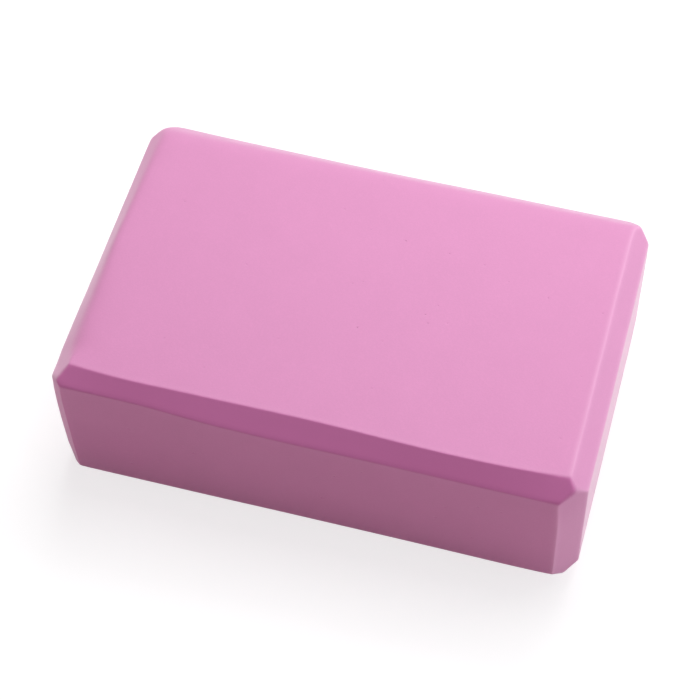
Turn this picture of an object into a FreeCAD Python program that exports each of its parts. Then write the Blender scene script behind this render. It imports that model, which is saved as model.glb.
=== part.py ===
import FreeCAD, Part
import os

# A firm foam yoga block: one brick of closed-cell foam with all twelve edges bevelled.
# Millimetres. X runs along the length, Y across the width and Z up.
# The origin is the middle of the large face that the block lies on.

# Overall size of the brick
block_length = 230.0
block_width = 150.0
block_height = 73.0

# Depth that each bevel takes off the two faces beside it
long_edge_bevel = 7.5
short_edge_bevel = 8.2
upright_edge_bevel = 9.3

# Softening of the creases that the cutter leaves between faces and bevels
crease_radius = 1.2

# Length that each bevelled bar runs past the brick before they are cut to each other
overrun = 10.0

X_AXIS = FreeCAD.Vector(1, 0, 0)
Y_AXIS = FreeCAD.Vector(0, 1, 0)
Z_AXIS = FreeCAD.Vector(0, 0, 1)


def bevelled_corners(width, height, bevel):
    """Corners of a centred rectangle with each corner cut off at 45 degrees, in order round it."""
    half_width = width / 2
    half_height = height / 2
    flat_width = half_width - bevel
    flat_height = half_height - bevel
    return [
        (flat_width, -half_height),
        (half_width, -flat_height),
        (half_width, flat_height),
        (flat_width, half_height),
        (-flat_width, half_height),
        (-half_width, flat_height),
        (-half_width, -flat_height),
        (-flat_width, -half_height),
    ]


def bevelled_bar(corners, across, up, along, length):
    """A bar of that section, centred on the origin, running along one axis past both ends of the brick."""
    half_run = length / 2 + overrun
    points = [across * u + up * v - along * half_run for u, v in corners]
    section = Part.Face(Part.makePolygon(points + points[:1]))
    return section.extrude(along * (half_run + half_run))


def sharp_brick():
    """What three bevelled bars, one along each axis, have in common: three bevels meet at every corner."""
    along_length = bevelled_bar(
        bevelled_corners(block_width, block_height, long_edge_bevel), Y_AXIS, Z_AXIS, X_AXIS, block_length
    )
    along_width = bevelled_bar(
        bevelled_corners(block_length, block_height, short_edge_bevel), X_AXIS, Z_AXIS, Y_AXIS, block_width
    )
    along_height = bevelled_bar(
        bevelled_corners(block_length, block_width, upright_edge_bevel), X_AXIS, Y_AXIS, Z_AXIS, block_height
    )
    return along_length.common(along_width).common(along_height).Solids[0]


def foam_block():
    """The brick with its creases softened, standing on the ground plane."""
    brick = sharp_brick()
    softened = brick.makeFillet(crease_radius, brick.Edges)
    softened.translate(Z_AXIS * (block_height / 2))
    return softened


os.makedirs("parts", exist_ok=True)
foam_block().exportStep("parts/foam_block.step")
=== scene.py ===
import itertools
import math
import random

import bpy
import numpy as np
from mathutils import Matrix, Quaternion, Vector


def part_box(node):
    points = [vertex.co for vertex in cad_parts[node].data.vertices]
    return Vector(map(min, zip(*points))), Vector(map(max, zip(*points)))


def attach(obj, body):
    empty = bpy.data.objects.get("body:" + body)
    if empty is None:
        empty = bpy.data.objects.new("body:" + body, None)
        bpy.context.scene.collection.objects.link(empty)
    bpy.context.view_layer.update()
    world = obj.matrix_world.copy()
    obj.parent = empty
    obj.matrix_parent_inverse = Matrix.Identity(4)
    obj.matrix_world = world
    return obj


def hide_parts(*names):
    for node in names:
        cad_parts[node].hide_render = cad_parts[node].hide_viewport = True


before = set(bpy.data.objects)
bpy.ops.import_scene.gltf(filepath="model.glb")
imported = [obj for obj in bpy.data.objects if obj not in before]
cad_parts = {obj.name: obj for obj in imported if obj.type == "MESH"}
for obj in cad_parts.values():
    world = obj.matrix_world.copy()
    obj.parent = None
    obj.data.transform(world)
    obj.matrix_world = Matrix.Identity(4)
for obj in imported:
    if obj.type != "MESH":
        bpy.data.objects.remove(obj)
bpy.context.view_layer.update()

# A foam yoga block in a plain studio, seen from above its front long side.
# Metres, X along the block, Y across it and Z up, as in the frame.
MM = 0.001

# The block's box comes from the frame, and its bevels are the part's own.
LOW, HIGH = (np.array(corner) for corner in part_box("foam_block"))
CENTRE = (LOW + HIGH) / 2
HALF = (HIGH - LOW) / 2
LONG_EDGE_BEVEL = 7.5 * MM
SHORT_EDGE_BEVEL = 8.2 * MM
UPRIGHT_EDGE_BEVEL = 9.3 * MM
CREASE_RADIUS = 1.2 * MM

# BEVEL[p, q] is the bevel between the faces square to axes p and q.
BEVEL = np.array([
    [0.0, UPRIGHT_EDGE_BEVEL, SHORT_EDGE_BEVEL],
    [UPRIGHT_EDGE_BEVEL, 0.0, LONG_EDGE_BEVEL],
    [SHORT_EDGE_BEVEL, LONG_EDGE_BEVEL, 0.0],
])
# Three bevels meet at a point this far in from the face square to each axis.
MEET = BEVEL.sum(axis=1) - BEVEL.sum() / 4

# Mesh lines: cells on the flats, closer lines beside the creases, and shares of each half bevel.
CELL = 2.0 * MM
CREASE_STEPS = np.array([0.0, 0.2, 0.5, 0.9, 1.4, 2.1, 3.0]) * MM
BAND_SHARES = np.array([0.05, 0.12, 0.22, 0.36, 0.55, 0.76, 1.0])
WELD = 0.001 * MM

# How far a cut face bows, and how far a bevel wanders along its edge, with the lengths of their waves.
FACE_BOW = 0.04 * MM
BEVEL_WANDER = 0.06 * MM
WAVE_LENGTHS = (35 * MM, 120 * MM)
WAVES = 5
WAVE_SEED = 11

# The faces by name: the axis that each is square to, and its side.
FACES = {
    "left": (0, -1), "right": (0, 1), "front": (1, -1), "back": (1, 1), "bottom": (2, -1), "top": (2, 1),
}
# Creases that stray from the part's bevels, on one face beside the next: shares of the edge's length, and
# how many millimetres from the edge the crease lies there.
STRAYS = {
    ("top", "front"): ((0.02, 9.4), (0.13, 7.4), (0.47, 8.2), (0.7, 7.0), (0.85, 7.1), (1.0, 9.2)),
    ("front", "top"): ((0.3, 7.6), (0.45, 8.3), (0.6, 8.0)),
    ("front", "bottom"): ((0.0, 6.6), (0.3, 7.1), (0.6, 8.0), (0.85, 7.8), (0.92, 7.7), (1.0, 8.8)),
    ("bottom", "front"): ((0.0, 6.6), (0.6, 8.0)),
    ("front", "left"): ((0.15, 8.7), (0.3, 8.0), (0.55, 7.7), (0.7, 7.2)),
    ("left", "front"): ((0.1, 9.9), (0.36, 8.3), (0.6, 7.5)),
    ("front", "right"): ((0.1, 8.8), (0.65, 9.2), (0.9, 10.2)),
    ("left", "top"): ((0.05, 9.9), (0.2, 9.0), (0.5, 8.3), (0.75, 6.9), (0.95, 6.2)),
    ("top", "left"): ((0.03, 9.2), (0.2, 6.8), (0.5, 5.6), (0.8, 6.2), (0.97, 7.6)),
    ("top", "right"): ((0.0, 7.75), (1.0, 7.7)),
    ("back", "top"): ((0.0, 5.7), (0.15, 6.9), (0.42, 8.0), (0.65, 7.6), (0.88, 7.7), (1.0, 7.2)),
}
# Bends between such places are eased over this share of the block's extent, to both sides, as the mean of
# this many places.
KNOT_EASE = 0.06
KNOT_SLIPS = 7
# How firmly a mesh line between two creases follows the nearer one.
NEARER_POWER = 4
# Towards its upper left corner the front face is cut this much too deep, which narrows the bevels beside it:
# the shares of the length and of the height over which that fades.
HOLLOW_DEPTH = 0.95 * MM
HOLLOW_ALONG = (0.16, 0.34)
HOLLOW_UP = (0.16, 0.62)
# The right face isn't quite square: how far it stands out at shares of the width.
LEAN = ((0.35, 0.28 * MM), (0.65, 0.0), (0.85, -0.08 * MM), (0.97, -0.3 * MM))
# The corners are worn rounder than the creases, at the front and at the back, out to this far from where
# three bevels meet.
CORNER_RADII = (3.0 * MM, 5.0 * MM)
CORNER_REACH = (4.0 * MM, 11.0 * MM)
# The left face's upper front corner is worn more than the others.
WORN_CORNER = np.array([-1, -1, 1]) * HALF + np.array([0.0, UPRIGHT_EDGE_BEVEL, -SHORT_EDGE_BEVEL])
WORN_RADIUS = 4.0 * MM
WORN_REACH = (5.0 * MM, 12.0 * MM)
# The creases beside the top's right edge are a little wider than the rest, out to this far from it.
RIGHT_CREASE_RADIUS = 2.2 * MM
RIGHT_CREASE_REACH = (12.0 * MM, 20.0 * MM)
# The top rolls over into its left bevel: the roll's radius at shares of the width, and how far in from the
# front face it sets in. It rolls over into its back bevel evenly.
LEFT_ROLL_RADII = ((0.15, 17.0 * MM), (0.55, 8.0 * MM), (0.8, 9.0 * MM))
LEFT_ROLL_SETS_IN = (8.0 * MM, 20.0 * MM)
BACK_ROLL_RADIUS = 12.0 * MM
# A thin darker line is painted on the upper front bevel beside its lower crease, as painted shade: how far
# behind the front face's plane it lies, and how far to each side it fades.
SHADE_LINE_DEPTH = 0.5 * MM
SHADE_LINE_WIDTH = 0.55 * MM
# Bevels painted a darker, more saturated pink than the faces, as painted shade.
SHADE_PAINTED_BEVELS = (("front", "top"), ("left", "front"))
# The other creases are painted paler, a painted highlight that is partly also rubbed wear, over this many
# times their own spread. A bevel with painted shade nearby counts this many times against it.
PALE_CREASE_SPREAD = 3
PALE_CREASE_STOP = 4

# The sharpness that makes the blend between faces about as round as an arc of the crease's radius.
SHARPNESS_SHARE = 9.1
SETTLE_ROUNDS = 6

# Open cells in the cut faces: the share of the mesh cells that have one, their radii, and how deep and how
# uneven they are as shares of the radius.
PORE_CHANCE_SHARE = 0.004
PORE_RADII = (0.15 * MM, 0.34 * MM)
PORE_DEPTH_SHARES = (0.3, 0.6)
PORE_RIM_SHARES = (0.85, 1.15)
PORE_SEED = 23
# Each is made of rings, from its lip down: shares of its radius, of its depth and of its mark, which paints
# the pit darker as painted shade. A ring has two points to each side of the mesh cell.
PORE_RINGS = ((1.3, 0.0, 0.0), (1.0, 0.25, 0.6), (0.55, 1.0, 1.0))
PORE_SIDES = 8

# The foam's colours, on the cut faces and as the darker painted shade on two bevels and along a line.
PINK = (0.645, 0.246, 0.467)
SHADE_PAINTED_PINK = (0.70, 0.183, 0.472)
# Clouds, grain and cells in the foam: their scales to the metre, and how many finer layers they have.
CLOUDS = {"Scale": 60.0, "Detail": 3.0}
GRAIN = {"Scale": 260.0, "Detail": 4.0}
CELLS = {"Scale": 1300.0}
# The tone varies between these levels, this share of it by the clouds and the rest by the cells.
TONE_LEVELS = (0.95, 1.05)
CLOUD_SHARE = 0.5
# Where the block is marked, these go over that colour in turn: how much of each shows, its colour, how light
# it is and how much white is in it.
MARKED_TONES = {
    # Painted shade on two bevels.
    "painted_bevel_shade": (0.7, SHADE_PAINTED_PINK, 1.0, 0.0),
    # A painted highlight along the creases, partly also rubbed wear.
    "crease": (0.9, PINK, 1.1, 0.12),
    # A painted shade line on the upper front bevel.
    "line": (0.45, SHADE_PAINTED_PINK, 0.8, 0.0),
    # Painted shade in the open cells' pits.
    "pore": (0.3, PINK, 0.7, 0.0),
}
# The roughness of rubbed creases and of the cut faces, and the gloss and sheen.
FOAM_ROUGHNESS = (0.46, 0.60)
FOAM_SPECULAR = 0.2
FOAM_SHEEN = 0.75
FOAM_SHEEN_ROUGHNESS = 0.5
# The fine relief, this share of it by the grain and the rest by the cells.
RELIEF_HEIGHT = 0.15 * MM
RELIEF_STRENGTH = 0.25
GRAIN_SHARE = 0.6

# The camera, fitted to the photograph: it looks at the aim point from this far and this high.
AIM = Vector((-2.1, -4.2, 36.5)) * MM
CAMERA_DISTANCE = 927 * MM
CAMERA_AZIMUTH = math.radians(16.32)
CAMERA_ELEVATION = math.radians(54.89)
CAMERA_ROLL = math.radians(-1.0)
LENS_MM = 108.5
SENSOR_MM = 36.0

# The soft lamps: degrees round from straight behind towards the right, degrees up, watts and colour.
WHITE = (1.0, 1.0, 1.0)
BLUSH = (1.0, 0.71, 0.83)
COOL = (0.90, 0.93, 1.0)
LAMPS = {
    "above": (0, 70, 8.3, WHITE),
    "behind": (0, 45, 6.1, WHITE),
    "key": (45, 45, 4.1, WHITE),
    "right_fill": (90, 20, 4.2, COOL),
    "left_fill": (270, 20, 1.8, BLUSH),
    "front_fill": (180, 20, 1.7, BLUSH),
}
LAMP_SIZE = 0.7
LAMP_DISTANCE = 1.2
# The even light all round.
AMBIENT = 0.01
# The floor, and how far below the block it lies. Its colour tints only the light that it throws back. Seen
# directly, it is a grey under the lamps with a glow added, which rises to white between these distances from
# the block's middle.
FLOOR_SIZE = 40.0
FLOOR_DROP = 0.1 * MM
FLOOR_COLOUR = (0.95, 0.70, 0.80)
FLOOR_SHOWN_GREY = 0.35
FLOOR_SHOWN_GLOW = (0.75, 1.0)
FLOOR_GLOW_REACH = (0.45, 1.2)


def face_lines(axis):
    """Lines across a face, as shares of its half flat from -1 to 1 and shares of the half bevel past that."""
    half_flat = HALF[axis] - BEVEL[axis].sum() / 2
    inner = half_flat - CREASE_STEPS[-1]
    cells = 2 * round(inner / CELL)
    middle = np.linspace(-inner, inner, cells + 1)[1:-1]
    beside = half_flat - CREASE_STEPS
    flat = np.concatenate([-beside, middle, beside[::-1]]) / half_flat
    none = np.zeros(len(flat))
    ends = np.ones(len(BAND_SHARES))
    return (
        np.concatenate([-ends, flat, ends]),
        np.concatenate([BAND_SHARES[::-1], none, BAND_SHARES]),
    )


def along(axis, other, normal, flat, band, other_band):
    """Where a face's lines lie along one axis. Towards the next face, the two faces' creases even out."""
    own = BEVEL[normal, axis]
    crease = own + other_band * (BEVEL[other, axis] - own) / 2
    return flat * (HALF[axis] - crease) + np.sign(flat) * band * (crease - MEET[axis])


def face_points(normal, side, lines):
    """A grid of points on one face and the near half of its four bevels, about the block's centre."""
    a, b = (normal + 1) % 3, (normal + 2) % 3
    flat_a, flat_b = np.meshgrid(lines[a][0], lines[b][0], indexing="ij")
    band_a, band_b = np.meshgrid(lines[a][1], lines[b][1], indexing="ij")
    points = np.empty(flat_a.shape + (3,))
    points[..., a] = along(a, b, normal, flat_a, band_a, band_b)
    points[..., b] = along(b, a, normal, flat_b, band_b, band_a)
    past_a = abs(points[..., a]) - (HALF[a] - BEVEL[normal, a])
    past_b = abs(points[..., b]) - (HALF[b] - BEVEL[normal, b])
    points[..., normal] = side * (HALF[normal] - np.maximum(0, np.maximum(past_a, past_b)))
    return points


def lattice():
    """(points, quads, whether each quad lies inside a flat) of the sharp block's six grids, welded."""
    lines = [face_lines(axis) for axis in range(3)]
    points, quads, inside, start = [], [], [], 0
    for normal in range(3):
        for side in (-1, 1):
            grid = face_points(normal, side, lines)
            index = start + np.arange(grid[..., 0].size).reshape(grid.shape[:2])
            corners = [index[:-1, :-1], index[1:, :-1], index[1:, 1:], index[:-1, 1:]]
            quads.append(np.stack(corners[::side], axis=-1).reshape(-1, 4))
            across = [(normal + step) % 3 for step in (1, 2)]
            deep = [abs(lines[axis][0]) < 1 - CREASE_STEPS[-1] / HALF[axis] for axis in across]
            whole = [row[:-1] & row[1:] for row in deep]
            inside.append(np.logical_and.outer(*whole).reshape(-1))
            points.append(grid.reshape(-1, 3))
            start += grid[..., 0].size
    points = np.concatenate(points)
    keys = np.round(points / WELD).astype(np.int64)
    _, first, welded = np.unique(keys, axis=0, return_index=True, return_inverse=True)
    return points[first], welded.reshape(-1)[np.concatenate(quads)], np.concatenate(inside)


def smooth_step(value, low, high):
    """0 up to the low value, 1 from the high value on, and an even rise between."""
    share = np.clip((value - low) / (high - low), 0, 1)
    return share * share * (3 - 2 * share)


def shares(points, axis):
    """How far along the block each point lies, from 0 to 1."""
    return (points[:, axis] / HALF[axis] + 1) / 2


def eased(points, axis, knots):
    """The value along each point of a line through (share of the extent, value) knots, its bends eased."""
    places, values = zip(*knots)
    slips = np.linspace(-KNOT_EASE, KNOT_EASE, KNOT_SLIPS)
    return np.mean([np.interp(shares(points, axis) + slip, places, values) for slip in slips], axis=0)


def leg(face, beside, points):
    """How far from the sharp edge the crease lies, on one face beside the next, along each point."""
    axis, next_axis = FACES[face][0], FACES[beside][0]
    if (face, beside) not in STRAYS:
        return np.full(len(points), BEVEL[axis, next_axis])
    return eased(points, 3 - axis - next_axis, STRAYS[face, beside]) * MM


def hollow(points):
    """How much too deep the front face is cut at each point."""
    along_share = 1 - smooth_step(shares(points, 0), *HOLLOW_ALONG)
    return HOLLOW_DEPTH * along_share * smooth_step(shares(points, 2), *HOLLOW_UP)


def lean(points):
    """How far the right face stands out at each point."""
    return eased(points, 1, LEAN)


def depths_below(points):
    """How deep each point lies below each face."""
    return {name: HALF[axis] - side * points[:, axis] for name, (axis, side) in FACES.items()}


def planes(points):
    """How far each point stands out of the six faces and the twelve bevels, and which way they face there."""
    depths = depths_below(points)
    outward = {name: side * np.eye(3)[axis] for name, (axis, side) in FACES.items()}
    found = {name: (-depths[name], np.tile(outward[name], (len(points), 1))) for name in FACES}
    for face, beside in itertools.combinations(FACES, 2):
        if FACES[face][0] == FACES[beside][0]:
            continue
        on_face, on_beside = leg(face, beside, points), leg(beside, face, points)
        height = 1 / np.hypot(1 / on_face, 1 / on_beside)
        gap = height * (1 - depths[beside] / on_face - depths[face] / on_beside)
        by_face, by_beside = (height / on_beside)[:, None], (height / on_face)[:, None]
        found[face, beside] = (gap, by_face * outward[face] + by_beside * outward[beside])
    return found


def waves(points, draw):
    """A smooth random height for each point: a few waves in random directions, about 1 high."""
    directions = draw.normal(size=(WAVES, 3))
    directions /= np.linalg.norm(directions, axis=1, keepdims=True)
    lengths = draw.uniform(*WAVE_LENGTHS, WAVES)
    phases = draw.uniform(0, 2 * math.pi, WAVES)
    turns = points @ (directions / lengths[:, None]).T
    return np.sin(2 * math.pi * turns + phases).sum(axis=1) / math.sqrt(WAVES)


def crease_line(face, beside, points):
    """How far from the sharp edge the crease shows on one face beside the next: nearer on the hollow."""
    return leg(face, beside, points) - (hollow(points) if face == "front" else 0)


def slide(points):
    """Moves the mesh lines that follow the part's creases to where this block's own creases run."""
    depths = depths_below(points)
    near = [np.where(points[:, axis] < 0, 0, 1) for axis in range(3)]
    sides = [[name for name in FACES if FACES[name][0] == axis] for axis in range(3)]
    moved = points.copy()
    for axis in range(3):
        one, two = (axis + 1) % 3, (axis + 2) % 3
        depth_one = np.choose(near[one], [depths[name] for name in sides[one]])
        depth_two = np.choose(near[two], [depths[name] for name in sides[two]])
        weight_one, weight_two = depth_two ** NEARER_POWER, depth_one ** NEARER_POWER
        share_one = weight_one / (weight_two + weight_one)
        part_leg = share_one * BEVEL[one, axis] + (1 - share_one) * BEVEL[two, axis]
        for end, towards in enumerate(sides[axis]):
            leg_one = np.choose(near[one], [crease_line(name, towards, points) for name in sides[one]])
            leg_two = np.choose(near[two], [crease_line(name, towards, points) for name in sides[two]])
            own_leg = share_one * leg_one + (1 - share_one) * leg_two
            depth = depths[towards]
            beyond = own_leg + (depth - part_leg) * (HALF[axis] - own_leg) / (HALF[axis] - part_leg)
            depth = np.where(depth < part_leg, depth * own_leg / part_leg, beyond)
            place = FACES[towards][1] * (HALF[axis] - depth)
            moved[:, axis] = np.where(near[axis] == end, place, moved[:, axis])
    return moved


def offsets(points, names):
    """How far out each of the faces and bevels stands at each point, by its own waves."""
    draw = np.random.default_rng(WAVE_SEED)
    heights = {name: waves(points, draw) * (FACE_BOW if name in FACES else BEVEL_WANDER) for name in names}
    heights["front"] -= hollow(points)
    heights["right"] += lean(points)
    return heights


def rolls(points):
    """The bevels that the top rolls over into, with the roll's radius along each point."""
    left = eased(points, 1, LEFT_ROLL_RADII)
    reach = smooth_step(depths_below(points)["front"], *LEFT_ROLL_SETS_IN)
    return {
        ("left", "top"): CREASE_RADIUS + (left - CREASE_RADIUS) * reach,
        ("back", "top"): np.full(len(points), BACK_ROLL_RADIUS),
    }


def crease_radii(points):
    """The radius of the other creases: wider beside the top's right edge and at the corners."""
    depths = depths_below(points)
    beside = 1 - smooth_step(np.maximum(depths["right"], depths["top"]), *RIGHT_CREASE_REACH)
    along_edge = CREASE_RADIUS + (RIGHT_CREASE_RADIUS - CREASE_RADIUS) * beside
    at_corner = np.where(points[:, 1] < 0, *CORNER_RADII)
    from_corner = np.linalg.norm(abs(points) - (HALF - MEET), axis=1)
    radii = along_edge + (at_corner - along_edge) * (1 - smooth_step(from_corner, *CORNER_REACH))
    from_worn = np.linalg.norm(points - WORN_CORNER, axis=1)
    return radii + np.maximum(WORN_RADIUS - radii, 0) * (1 - smooth_step(from_worn, *WORN_REACH))


def joined(surfaces, radii):
    """One surface from several, with creases of those radii: (how far out of it each point is, its slope)."""
    gaps = np.stack([gap for gap, _ in surfaces], axis=1)
    slopes = np.stack([slope for _, slope in surfaces], axis=1)
    sharpness = (SHARPNESS_SHARE / radii)[:, None]
    top = gaps.max(axis=1, keepdims=True)
    weights = np.exp(sharpness * (gaps - top))
    total = weights.sum(axis=1, keepdims=True)
    level = top + np.log(total) / sharpness
    return level[:, 0], np.einsum("pk,pkc->pc", weights / total, slopes)


def counts(surfaces, sharpness):
    """How much each of several surfaces counts at each point, together 1."""
    gaps = np.stack([gap for gap, _ in surfaces.values()], axis=1)
    weights = np.exp(sharpness * (gaps - gaps.max(axis=1, keepdims=True)))
    return dict(zip(surfaces, (weights / weights.sum(axis=1, keepdims=True)).T))


def settle(points):
    """(points on the soft block, 0-to-1 marks: painted highlight on creases, painted shade on a line and
    bevels).
    """
    out = offsets(points, planes(points[:1]))
    for _ in range(SETTLE_ROUNDS):
        surfaces = {name: (gap - out[name], slope) for name, (gap, slope) in planes(points).items()}
        for bevel, radii in rolls(points).items():
            surfaces["top"] = joined([surfaces["top"], surfaces.pop(bevel)], radii)
        level, slope = joined(list(surfaces.values()), crease_radii(points))
        points = points - level[:, None] * slope / (slope ** 2).sum(axis=1, keepdims=True)
    sharpness = SHARPNESS_SHARE / CREASE_RADIUS
    # The crease mark paints the creases paler, a painted highlight that is partly also rubbed wear.
    wide = counts(surfaces, sharpness / PALE_CREASE_SPREAD)
    most = np.max(list(wide.values()), axis=0)
    rubbed_and_highlit = np.clip(1 - PALE_CREASE_STOP * sum(wide[bevel] for bevel in SHADE_PAINTED_BEVELS), 0, 1)
    # The line mark is a painted shade line on the upper front bevel.
    from_line = np.hypot(surfaces["front"][0] + SHADE_LINE_DEPTH, surfaces["front", "top"][0])
    line = np.exp(-(from_line / SHADE_LINE_WIDTH) ** 2)
    # Where two surfaces meet in a crease, each counts half.
    crease = np.clip(2 * (1 - most), 0, 1) * (1 - line) * rubbed_and_highlit
    # The bevel mark paints two bevels darker, as painted shade.
    near = counts(surfaces, sharpness)
    return points, {"crease": crease, "line": line, "painted_bevel_shade": sum(near[bevel] for bevel in SHADE_PAINTED_BEVELS)}


def pit_rings(points, pore, corners, dice):
    """Adds the points of a small pit between four corners, with their marks of painted shade: its rings of
    point numbers.
    """
    middle = sum(corners) / len(corners)
    across = (corners[1] - corners[0]) / np.linalg.norm(corners[1] - corners[0])
    normal = np.cross(corners[1] - corners[0], corners[3] - corners[0])
    normal /= np.linalg.norm(normal)
    up = np.cross(normal, across)
    radius = dice.uniform(*PORE_RADII)
    depth = radius * dice.uniform(*PORE_DEPTH_SHARES)
    rims = [dice.uniform(*PORE_RIM_SHARES) for _ in range(PORE_SIDES)]
    start = math.atan2((corners[0] - middle) @ up, (corners[0] - middle) @ across)
    rings = []
    for size, sink, dark in PORE_RINGS:
        rings.append(range(len(points), len(points) + PORE_SIDES))
        for step, rim in enumerate(rims):
            angle = start + 2 * math.pi * step / PORE_SIDES
            spoke = across * math.cos(angle) + up * math.sin(angle)
            points.append(middle + spoke * radius * size * rim - normal * depth * sink)
            pore.append(dark)
    return rings


def add_pore(points, pore, faces, quad, dice):
    """Replaces one quad by a small open cell: a round pit with a soft lip."""
    rings = pit_rings(points, pore, [points[i] for i in quad], dice)
    lip = rings[0]
    for side, corner in enumerate(quad):
        next_corner = quad[(side + 1) % len(quad)]
        here, there = 2 * side, (2 * side + 2) % PORE_SIDES
        faces.append((corner, next_corner, lip[there], lip[here + 1], lip[here]))
    for outer, inner in zip(rings, rings[1:]):
        for step in range(PORE_SIDES):
            after = (step + 1) % PORE_SIDES
            faces.append((outer[step], outer[after], inner[after], inner[step]))
    faces.append(tuple(rings[-1]))


def foam_block():
    """The block as one mesh object, marked for the creases' painted highlight, for painted shade and for open
    cells.
    """
    points, quads, inside = lattice()
    settled, marks = settle(slide(points))
    settled[:, 2] = np.maximum(settled[:, 2], -HALF[2])
    dice = random.Random(PORE_SEED)
    points = list(settled + CENTRE)
    pore = [0.0] * len(points)
    faces = []
    for quad, flat in zip(quads.tolist(), inside):
        if flat and dice.random() < PORE_CHANCE_SHARE:
            add_pore(points, pore, faces, quad, dice)
        else:
            faces.append(tuple(quad))
    mesh = bpy.data.meshes.new("foam_block_cut")
    mesh.from_pydata([tuple(p) for p in points], [], faces)
    in_pores = np.zeros(len(points) - len(settled))
    marks = {name: np.append(values, in_pores) for name, values in marks.items()}
    for name, values in (marks | {"pore": np.array(pore)}).items():
        mesh.attributes.new(name, "FLOAT", "POINT").data.foreach_set("value", values.astype(np.float32))
    mesh.shade_smooth()
    block = bpy.data.objects.new("foam_block_cut", mesh)
    bpy.context.collection.objects.link(block)
    return block


def add_node(tree, kind, inputs=(), **settings):
    """A node with its settings and inputs; an input given as a socket is linked."""
    node = tree.nodes.new(kind)
    for name, value in settings.items():
        setattr(node, name, value)
    for name, value in dict(inputs).items():
        if isinstance(value, bpy.types.NodeSocket):
            tree.links.new(value, node.inputs[name])
        else:
            node.inputs[name].default_value = value
    return node


def maths(tree, operation, first, second):
    """The result of one sum on two values or sockets."""
    return add_node(tree, "ShaderNodeMath", {0: first, 1: second}, operation=operation).outputs[0]


def by_shares(tree, share, first, second):
    """The sum of a share of one value and the rest of another."""
    part = maths(tree, "MULTIPLY", first, share)
    rest = maths(tree, "MULTIPLY", second, 1 - share)
    return maths(tree, "ADD", part, rest)


def mark(tree, name):
    """The block's mark of that name, from 0 to 1."""
    return add_node(tree, "ShaderNodeAttribute", attribute_name=name).outputs["Fac"]


def blend(tree, share, first, second):
    """A colour between two, by a share."""
    mix = add_node(tree, "ShaderNodeMix", {0: share, 6: first, 7: second}, data_type="RGBA")
    return mix.outputs[2]


def tone(colour, level, white=0.0):
    """A colour made darker or lighter, and paler, as four numbers."""
    return tuple(level * channel * (1 - white) + white for channel in colour) + (1.0,)


def new_material(name):
    """An empty node material: (material, its tree, its output's surface socket)."""
    material = bpy.data.materials.new(name)
    material.use_nodes = True
    tree = material.node_tree
    tree.nodes.clear()
    output = add_node(tree, "ShaderNodeOutputMaterial")
    return material, tree, output.inputs["Surface"]


def foam_colour(tree, cloud, cells):
    """The foam's cloudy pink, with painted shade and a painted highlight where the block is marked."""
    darker, lighter = (tone(PINK, level) for level in TONE_LEVELS)
    colour = blend(tree, by_shares(tree, CLOUD_SHARE, cloud, cells), darker, lighter)
    for name, (share, base, level, white) in MARKED_TONES.items():
        shown = maths(tree, "MULTIPLY", mark(tree, name), share)
        colour = blend(tree, shown, colour, tone(base, level, white))
    return colour


def foam_roughness(tree, grain):
    """The foam's roughness: uneven by its grain, and smoother on rubbed creases."""
    smooth, rough = FOAM_ROUGHNESS
    uneven = maths(tree, "ADD", maths(tree, "MULTIPLY", grain, rough - smooth), smooth)
    rubbed_and_highlit = maths(tree, "MULTIPLY", mark(tree, "crease"), smooth - rough)
    return maths(tree, "ADD", uneven, rubbed_and_highlit)


def foam_material():
    """Matte closed-cell foam with a fine relief of grain and cells, and a faint sheen."""
    material, tree, surface = new_material("eva_foam")
    place = add_node(tree, "ShaderNodeTexCoord").outputs["Object"]
    cloud = add_node(tree, "ShaderNodeTexNoise", {"Vector": place} | CLOUDS).outputs[0]
    grain = add_node(tree, "ShaderNodeTexNoise", {"Vector": place} | GRAIN).outputs[0]
    cells = add_node(tree, "ShaderNodeTexVoronoi", {"Vector": place} | CELLS).outputs["Distance"]
    relief = add_node(tree, "ShaderNodeBump", {
        "Height": by_shares(tree, GRAIN_SHARE, grain, cells),
        "Strength": RELIEF_STRENGTH,
        "Distance": RELIEF_HEIGHT,
    })
    foam = add_node(tree, "ShaderNodeBsdfPrincipled", {
        "Base Color": foam_colour(tree, cloud, cells),
        "Roughness": foam_roughness(tree, grain),
        "Normal": relief.outputs["Normal"],
        "Specular IOR Level": FOAM_SPECULAR,
        "Sheen Weight": FOAM_SHEEN,
        "Sheen Roughness": FOAM_SHEEN_ROUGHNESS,
    })
    tree.links.new(foam.outputs["BSDF"], surface)
    return material


def seen_directly(tree):
    """1 for rays from the camera, from gloss and through glass, and 0 for light on surfaces."""
    path = add_node(tree, "ShaderNodeLightPath").outputs
    gloss = maths(tree, "MAXIMUM", path["Is Glossy Ray"], path["Is Transmission Ray"])
    return maths(tree, "MAXIMUM", path["Is Camera Ray"], gloss)


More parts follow.
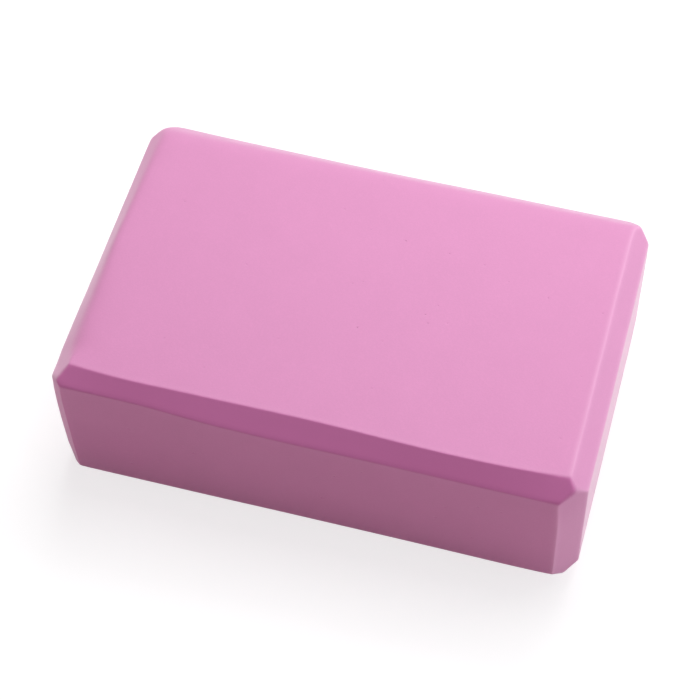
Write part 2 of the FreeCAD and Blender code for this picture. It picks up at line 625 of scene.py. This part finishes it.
def floor_material():
    """A floor that shows white in the open, keeps the block's soft shadow and throws back tinted light."""
    material, tree, surface = new_material("studio_floor")
    bounce = add_node(tree, "ShaderNodeBsdfDiffuse", {"Color": tone(FLOOR_COLOUR, 1.0)})
    shown = add_node(tree, "ShaderNodeBsdfDiffuse", {"Color": tone((FLOOR_SHOWN_GREY,) * 3, 1.0)})
    place = add_node(tree, "ShaderNodeTexCoord").outputs["Object"]
    away = add_node(tree, "ShaderNodeVectorMath", {0: place}, operation="LENGTH").outputs["Value"]
    strength = add_node(tree, "ShaderNodeMapRange", {
        "Value": away,
        "From Min": FLOOR_GLOW_REACH[0],
        "From Max": FLOOR_GLOW_REACH[1],
        "To Min": FLOOR_SHOWN_GLOW[0],
        "To Max": FLOOR_SHOWN_GLOW[1],
    }).outputs["Result"]
    glow = add_node(tree, "ShaderNodeEmission", {"Strength": strength})
    pale = add_node(tree, "ShaderNodeAddShader", {0: shown.outputs[0], 1: glow.outputs[0]})
    mix = add_node(tree, "ShaderNodeMixShader", {
        0: seen_directly(tree), 1: bounce.outputs[0], 2: pale.outputs[0],
    })
    tree.links.new(mix.outputs[0], surface)
    return material


def add_floor():
    """A large flat floor, a hair below the block so that the two faces don't coincide."""
    half = FLOOR_SIZE / 2
    mesh = bpy.data.meshes.new("studio_floor")
    corners = [(x * half, y * half, LOW[2] - FLOOR_DROP) for x, y in ((-1, -1), (1, -1), (1, 1), (-1, 1))]
    mesh.from_pydata(corners, [], [(0, 1, 2, 3)])
    mesh.materials.append(floor_material())
    floor = bpy.data.objects.new("studio_floor", mesh)
    bpy.context.collection.objects.link(floor)


def add_lamps():
    """The soft lamps round the block, all aimed at it."""
    for name, (azimuth, elevation, watts, colour) in LAMPS.items():
        azimuth, elevation = math.radians(azimuth), math.radians(elevation)
        flat = math.cos(elevation)
        towards = Vector((math.sin(azimuth) * flat, math.cos(azimuth) * flat, math.sin(elevation)))
        lamp = bpy.data.lights.new(name, "AREA")
        lamp.shape = "SQUARE"
        lamp.size = LAMP_SIZE
        lamp.energy = watts
        lamp.color = colour
        light = bpy.data.objects.new(name, lamp)
        light.location = Vector(CENTRE) + towards * LAMP_DISTANCE
        light.rotation_mode = "QUATERNION"
        light.rotation_quaternion = towards.to_track_quat("Z", "Y")
        bpy.context.collection.objects.link(light)


def add_world():
    """Even light all round, and white where the world is seen directly."""
    world = bpy.data.worlds.new("studio")
    world.use_nodes = True
    tree = world.node_tree
    tree.nodes.clear()
    even = add_node(tree, "ShaderNodeBackground", {"Color": tone(WHITE, 1.0), "Strength": AMBIENT})
    white = add_node(tree, "ShaderNodeBackground", {"Color": tone(WHITE, 1.0), "Strength": 1.0})
    mix = add_node(tree, "ShaderNodeMixShader", {
        0: seen_directly(tree), 1: even.outputs[0], 2: white.outputs[0],
    })
    output = add_node(tree, "ShaderNodeOutputWorld")
    tree.links.new(mix.outputs[0], output.inputs["Surface"])
    bpy.context.scene.world = world


def add_camera():
    """The camera at the photograph's place."""
    data = bpy.data.cameras.new("camera")
    data.lens = LENS_MM
    data.sensor_width = SENSOR_MM
    camera = bpy.data.objects.new("camera", data)
    flat = math.cos(CAMERA_ELEVATION)
    back = Vector((
        math.sin(CAMERA_AZIMUTH) * flat, -math.cos(CAMERA_AZIMUTH) * flat, math.sin(CAMERA_ELEVATION),
    ))
    camera.location = AIM + back * CAMERA_DISTANCE
    camera.rotation_mode = "QUATERNION"
    camera.rotation_quaternion = back.to_track_quat("Z", "Y") @ Quaternion((0, 0, 1), CAMERA_ROLL)
    bpy.context.collection.objects.link(camera)
    bpy.context.scene.camera = camera


block = foam_block()
block.data.materials.append(foam_material())
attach(block, "root")
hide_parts("foam_block")

add_floor()
add_lamps()
add_world()
add_camera()
bpy.context.scene.view_settings.view_transform = "Standard"
